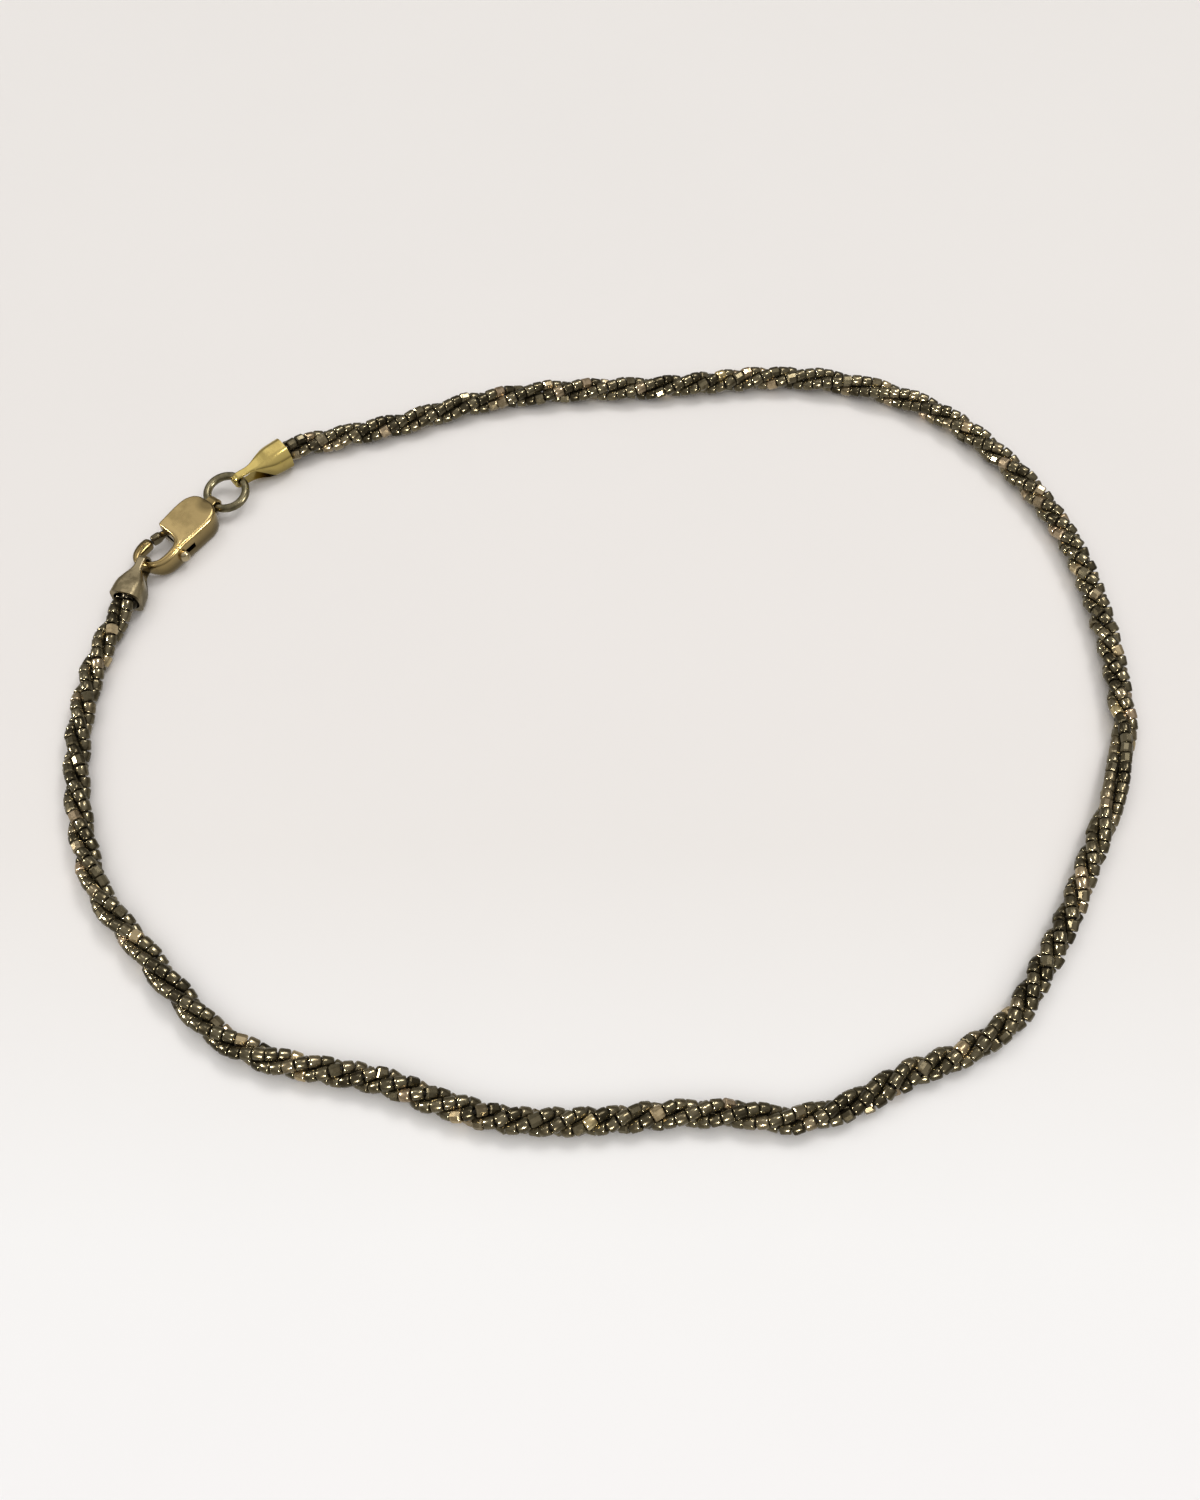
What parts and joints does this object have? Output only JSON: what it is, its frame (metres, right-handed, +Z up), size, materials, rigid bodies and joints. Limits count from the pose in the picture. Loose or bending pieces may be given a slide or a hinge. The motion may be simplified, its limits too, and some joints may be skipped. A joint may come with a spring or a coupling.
{
  "type": "beaded anklet",
  "caption": "Thin rope of twisted bead strands laid in a loop, folded end caps, a jump ring and a lobster clasp with a turning lever.",
  "frame": {"origin": "middle of the loop's outline on the surface that it lies on", "axes": "+X along the loop's longer way, +Z up from the surface, the clasp lies at -X and +Y"},
  "size_m": [0.0864, 0.0708, 0.0027],
  "materials": {
    "beads": "tarnished gold-plated beads with small bright facets",
    "caps": "polished gold plating, darkened in the folds",
    "rings": "tarnished round wire",
    "clasp": "antique gold plating, bright on the rims",
    "lever": "tarnished, worn bright on the thumb nub",
    "pin": "plain drawn pin"
  },
  "bodies": {
    "anklet": {"strand_1": "beads", "strand_2": "beads", "strand_3": "beads", "end_cap_right": "caps", "end_cap_left": "caps", "jump_ring": "rings", "clasp_body": "clasp", "lever_pin": "pin"},
    "lever": {"clasp_lever": "lever"}
  },
  "joints": [
    {"name": "lever_hinge", "type": "hinge", "parent": "anklet", "child": "lever", "pos_m": [-0.03734, 0.01718, 0.00115], "axis": [0, 0, 1], "range_deg": [0, 18], "stiffness_Nm_per_rad": 0.0004, "springref_deg": -17.19}
  ]
}
